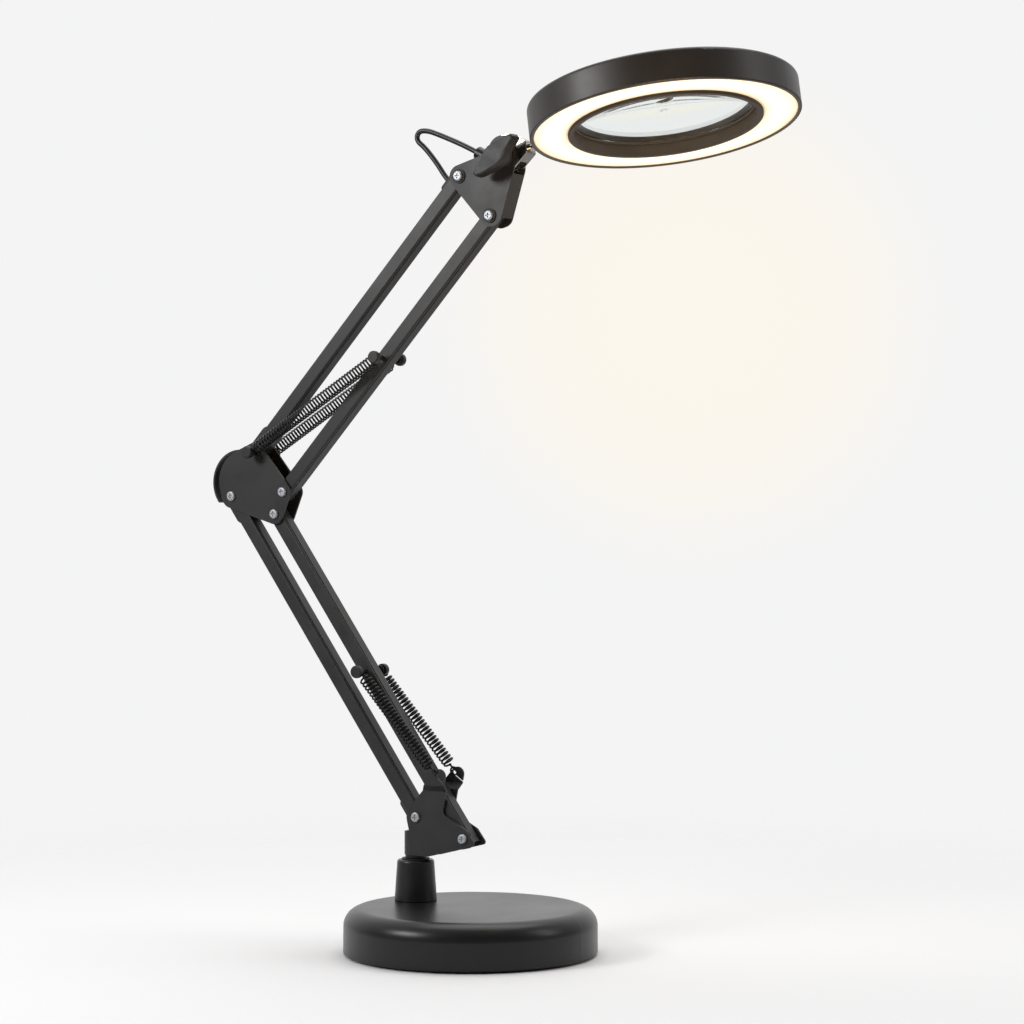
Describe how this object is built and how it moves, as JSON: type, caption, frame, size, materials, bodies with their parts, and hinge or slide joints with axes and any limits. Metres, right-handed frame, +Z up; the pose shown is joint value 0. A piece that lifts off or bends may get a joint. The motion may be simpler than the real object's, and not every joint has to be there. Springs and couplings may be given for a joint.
{
  "type": "magnifying lamp",
  "caption": "Desk magnifying lamp: round weighted base, spring-balanced parallelogram arm with an elbow, and a tilting LED ring head around a magnifying lens.",
  "frame": {"origin": "centre of the underside of the round base, on the surface it stands on", "axes": "+Z up, +X from the elbow towards the lamp head in the plane of the arm, +Y away from the side with the wing knob"},
  "size_m": [0.4208, 0.1712, 0.5479],
  "materials": {
    "pad_foam": "matt foam",
    "zinc_sheet": "zinc plated sheet",
    "cast_weight": "rough casting",
    "satin_black_base": "satin black powder coat",
    "satin_black_socket": "satin black",
    "nylon_black": "matt",
    "black_steel": "black oxide",
    "bracket_paint": "satin black powder coat",
    "tube_paint": "satin black powder coat",
    "zinc_bolt": "bright zinc",
    "zinc_sleeve": "zinc",
    "guide_plastic": "matt black",
    "wire_jacket": "matt",
    "cord_rubber": "satin black",
    "spring_steel": "black oxide wire",
    "knob_cap_plastic": "matt black",
    "knob_plastic": "satin black moulding",
    "washer_black": "matt black",
    "nickel": "bright nickel",
    "head_shell": "satin dark grey",
    "head_collar": "satin dark grey",
    "lens_glass": "polished",
    "circuit_board": "white solder mask",
    "led_chip": "phosphor",
    "opal_diffuser": "opal, lit"
  },
  "bodies": {
    "base": {"base_pad": "pad_foam", "base_bottom_plate": "zinc_sheet", "base_weight": "cast_weight", "base_cover": "satin_black_base", "post_socket": "satin_black_socket", "socket_bush": "nylon_black"},
    "swivel": {"swivel_pin": "black_steel", "lower_bracket": "bracket_paint", "lower_pivot_bolts": "zinc_bolt", "lower_pivot_nuts": "zinc_bolt", "lower_pivot_sleeves": "zinc_sleeve", "lower_pivot_washers": "nylon_black"},
    "lower_left_bar": {"lower_left_tube": "tube_paint", "lower_guide_bottom": "guide_plastic", "lower_guide_top": "guide_plastic", "lower_lead": "wire_jacket"},
    "lower_right_bar": {"lower_right_tube": "tube_paint", "lower_spring_pin": "black_steel", "lower_spring_knobs": "knob_cap_plastic", "lower_spring_front": "spring_steel", "lower_spring_rear": "spring_steel"},
    "elbow": {"elbow_front_plate": "bracket_paint", "elbow_rear_plate": "bracket_paint", "elbow_spine": "bracket_paint", "elbow_bolts": "zinc_bolt", "elbow_nuts": "zinc_bolt", "elbow_sleeves": "zinc_sleeve", "elbow_washers": "nylon_black", "elbow_pin": "black_steel", "elbow_knobs": "knob_cap_plastic", "elbow_lead_lower": "wire_jacket", "elbow_lead_upper": "wire_jacket"},
    "upper_left_bar": {"upper_left_tube": "tube_paint", "upper_guide_bottom": "guide_plastic", "upper_guide_top": "guide_plastic", "upper_lead": "wire_jacket", "head_cord_loop": "cord_rubber"},
    "upper_right_bar": {"upper_right_tube": "tube_paint", "upper_spring_pin": "black_steel", "upper_spring_knobs": "knob_cap_plastic", "upper_spring_front": "spring_steel", "upper_spring_rear": "spring_steel"},
    "head_bracket": {"head_bracket": "bracket_paint", "head_pivot_bolts": "zinc_bolt", "head_pivot_nuts": "zinc_bolt", "head_pivot_sleeves": "zinc_sleeve", "head_pivot_washers": "nylon_black", "bolt_rings": "washer_black", "clamp_screw": "zinc_bolt", "cord_grommet": "cord_rubber"},
    "clamp_knob": {"clamp_knob": "knob_plastic"},
    "head_yoke": {"head_yoke": "nickel"},
    "lamp_head": {"head_stem": "nickel", "head_housing": "head_shell", "inner_collar": "head_collar", "lens": "lens_glass", "lens_retainer": "head_collar", "led_board": "circuit_board", "leds": "led_chip", "diffuser": "opal_diffuser"}
  },
  "joints": [
    {"name": "base_swivel", "type": "hinge", "parent": "base", "child": "swivel", "pos_m": [-0.0463, 0.0077, 0.05], "axis": [0, 0, 1], "range_deg": [-170, 170]},
    {"name": "lower_arm", "type": "hinge", "parent": "swivel", "child": "lower_left_bar", "pos_m": [-0.0413, 0.0077, 0.0834], "axis": [0, 1, 0], "range_deg": [-14, 45]},
    {"name": "lower_link", "type": "hinge", "parent": "swivel", "child": "lower_right_bar", "pos_m": [-0.0061, 0.0077, 0.0714], "axis": [0, 1, 0], "range_deg": [-14, 45], "deforming": ["lower_spring_front", "lower_spring_rear"]},
    {"name": "elbow_level", "type": "hinge", "parent": "lower_left_bar", "child": "elbow", "pos_m": [-0.1883, 0.0077, 0.2892], "axis": [0, 1, 0], "range_deg": [-45, 14], "deforming": ["elbow_lead_lower"]},
    {"name": "upper_arm", "type": "hinge", "parent": "elbow", "child": "upper_left_bar", "pos_m": [-0.1693, 0.0077, 0.318], "axis": [0, 1, 0], "range_deg": [-40, 45], "deforming": ["elbow_lead_upper"]},
    {"name": "upper_link", "type": "hinge", "parent": "elbow", "child": "upper_right_bar", "pos_m": [-0.1465, 0.0077, 0.2917], "axis": [0, 1, 0], "range_deg": [-40, 45], "deforming": ["upper_spring_front", "upper_spring_rear"]},
    {"name": "head_level", "type": "hinge", "parent": "upper_left_bar", "child": "head_bracket", "pos_m": [-0.009, 0.0077, 0.4906], "axis": [0, 1, 0], "range_deg": [-45, 40], "deforming": ["head_cord_loop"]},
    {"name": "head_tilt", "type": "hinge", "parent": "head_bracket", "child": "head_yoke", "pos_m": [0.02484, 0.0077, 0.49996], "axis": [0, 1, 0], "range_deg": [-60, 40]},
    {"name": "head_roll", "type": "hinge", "parent": "head_yoke", "child": "lamp_head", "pos_m": [0.0242, 0.0077, 0.5035], "axis": [0.9839, 0, 0.1788], "range_deg": [-80, 80]},
    {"name": "knob_turn", "type": "hinge", "parent": "head_bracket", "child": "clamp_knob", "pos_m": [0.02484, 0.0077, 0.49996], "axis": [0, 1, 0], "range_deg": [-180, 180]}
  ],
  "couplings": [
    {"joint": "lower_link", "follows": "lower_arm", "ratio": 1},
    {"joint": "elbow_level", "follows": "lower_arm", "ratio": -1},
    {"joint": "upper_link", "follows": "upper_arm", "ratio": 1},
    {"joint": "head_level", "follows": "upper_arm", "ratio": -1}
  ]
}
